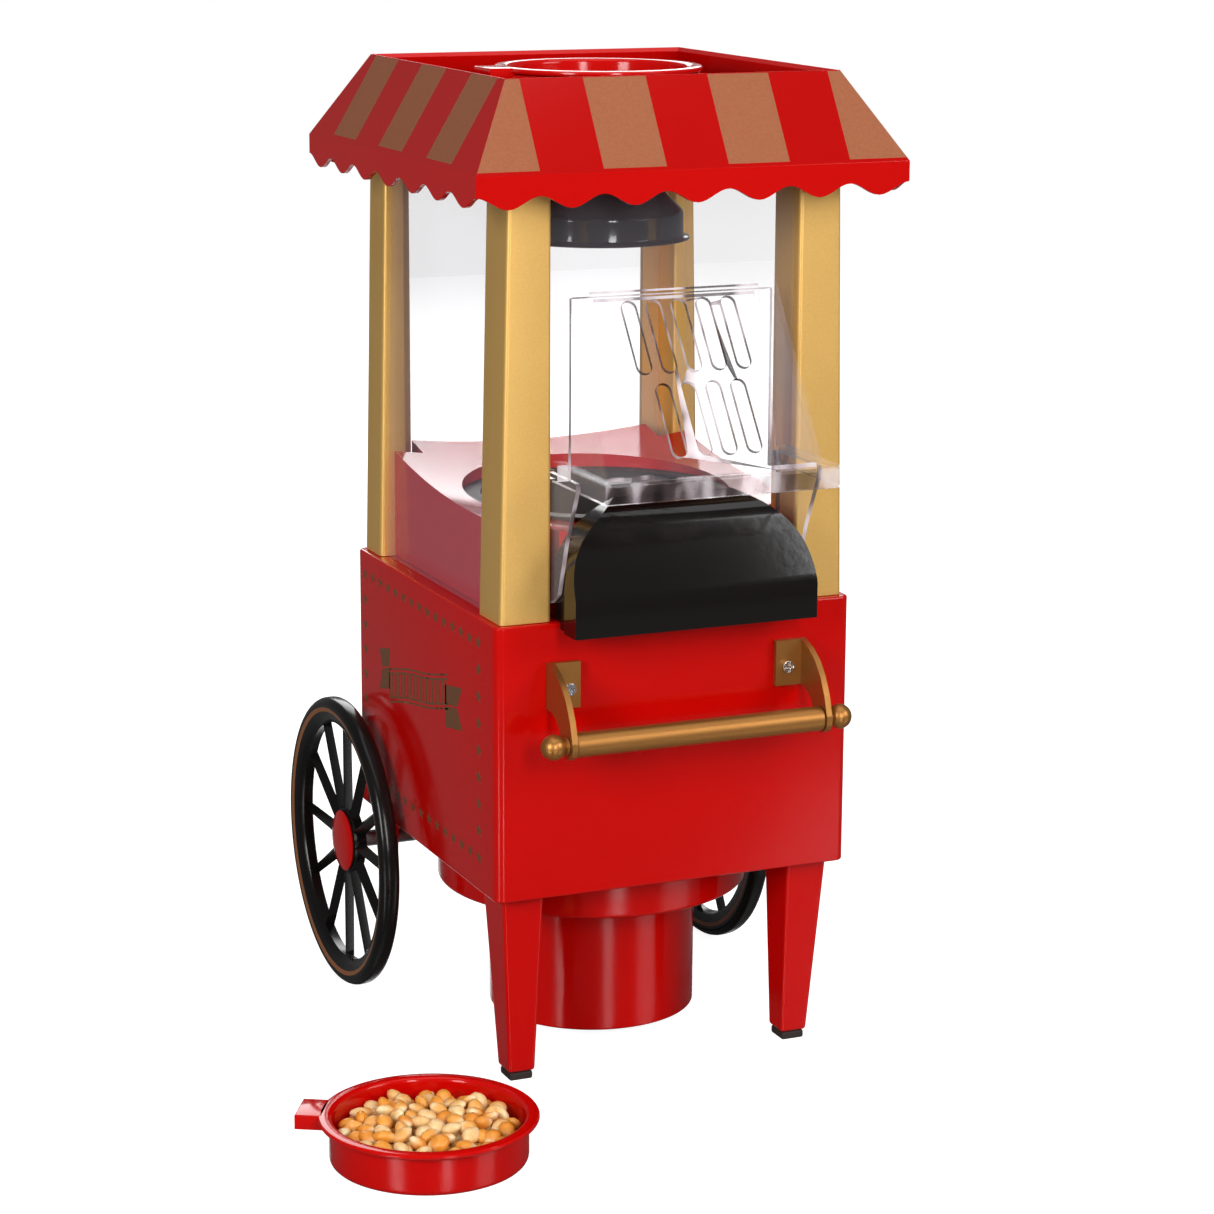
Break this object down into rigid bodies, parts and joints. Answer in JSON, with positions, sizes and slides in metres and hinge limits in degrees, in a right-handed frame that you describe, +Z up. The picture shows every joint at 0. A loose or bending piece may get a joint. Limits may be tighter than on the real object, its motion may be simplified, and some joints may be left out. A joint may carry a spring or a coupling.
{
  "type": "popcorn maker",
  "caption": "Table-top hot-air popcorn maker shaped like an old street cart, with a clear cabinet, striped canopy, spoked wheels and a loose measuring cup.",
  "frame": {"origin": "bottom centre of the box that holds the cart and its loose measuring cup, on the surface they stand on", "axes": "+Z up, -Y out of the front where the popcorn falls, +X to the right seen from the front"},
  "size_m": [0.2746, 0.3252, 0.42],
  "materials": {
    "red_plastic": "glossy bright red moulded plastic",
    "black_plastic": "glossy black moulded plastic",
    "gold_plastic": "satin gold paint on plastic",
    "gold_metal": "satin gold paint on metal",
    "clear_plastic": "clear polycarbonate",
    "foot_rubber": "dark brown matt rubber",
    "chrome_screw": "polished cross-head screw",
    "chamber_aluminium": "spun aluminium",
    "steel": "plain steel",
    "thermostat_metal": "plated can",
    "mica": "mica sheet",
    "circuit_board": "green circuit board",
    "corn": "dry yellow corn kernels"
  },
  "bodies": {
    "root": {"cart_body": "red_plastic", "base_cover": "red_plastic", "base_plate": "black_plastic", "base_screw_1": "chrome_screw", "base_screw_2": "chrome_screw", "base_screw_3": "chrome_screw", "front_leg_right": "red_plastic", "front_leg_left": "red_plastic", "rubber_foot_right": "foot_rubber", "rubber_foot_left": "foot_rubber", "axle": "steel", "axle_bracket_right": "red_plastic", "axle_bracket_left": "red_plastic", "handle_bar": "gold_metal", "handle_knob_right": "gold_metal", "handle_knob_left": "gold_metal", "handle_bracket_right": "gold_metal", "handle_bracket_left": "gold_metal", "handle_screw_right": "chrome_screw", "handle_screw_left": "chrome_screw", "front_post_right": "gold_plastic", "front_post_left": "gold_plastic", "rear_post_right": "gold_plastic", "rear_post_left": "gold_plastic", "side_window_right": "clear_plastic", "side_window_left": "clear_plastic", "rear_window": "clear_plastic", "cabinet_top_frame": "red_plastic", "hopper_deck": "red_plastic", "popping_chamber": "chamber_aluminium", "chamber_collar": "steel", "air_duct": "black_plastic", "heater_frame": "mica", "heater_coil": "steel", "thermostat": "thermostat_metal", "motor": "steel", "motor_bracket": "steel", "rectifier_board": "circuit_board", "switch_housing": "black_plastic", "cord_gland": "black_plastic"},
    "right_wheel": {"wheel_right": "black_plastic", "hub_cap_right": "red_plastic"},
    "left_wheel": {"wheel_left": "black_plastic", "hub_cap_left": "red_plastic"},
    "rotor": {"fan_impeller": "black_plastic", "motor_shaft": "steel"},
    "roof": {"roof_canopy": "red_plastic", "deflector_dome": "black_plastic"},
    "lid": {"lid_cup": "red_plastic"},
    "visor": {"front_visor": "clear_plastic", "popcorn_ramp": "black_plastic"},
    "rocker": {"switch_rocker": "black_plastic"},
    "cup": {"measuring_cup": "red_plastic", "kernel_heap": "corn"}
  },
  "joints": [
    {"name": "right_wheel_spin", "type": "hinge", "parent": "root", "child": "right_wheel", "pos_m": [0.04203, 0.09673, 0.06585], "axis": [1, 0, 0], "continuous": true},
    {"name": "left_wheel_spin", "type": "hinge", "parent": "root", "child": "left_wheel", "pos_m": [0.04203, 0.09673, 0.06585], "axis": [1, 0, 0], "continuous": true},
    {"name": "fan_spin", "type": "hinge", "parent": "root", "child": "rotor", "pos_m": [0.04203, 0.01682, 0.1], "axis": [0, 0, 1], "continuous": true},
    {"name": "roof_lift", "type": "slide", "parent": "root", "child": "roof", "axis": [0, 0, 1], "range_m": [0, 0.12]},
    {"name": "lid_cup_lift", "type": "slide", "parent": "roof", "child": "lid", "axis": [0, 0, 1], "range_m": [0, 0.06]},
    {"name": "visor_pull", "type": "slide", "parent": "root", "child": "visor", "axis": [0, -1, 0], "range_m": [0, 0.06]},
    {"name": "switch_rock", "type": "hinge", "parent": "root", "child": "rocker", "pos_m": [0.07203, 0.09932, 0.122], "axis": [0, 0, 1], "range_deg": [-16, 0]},
    {"name": "measuring_cup_lift", "type": "slide", "parent": "root", "child": "cup", "axis": [0, 0, 1], "range_m": [0, 0.1]}
  ]
}
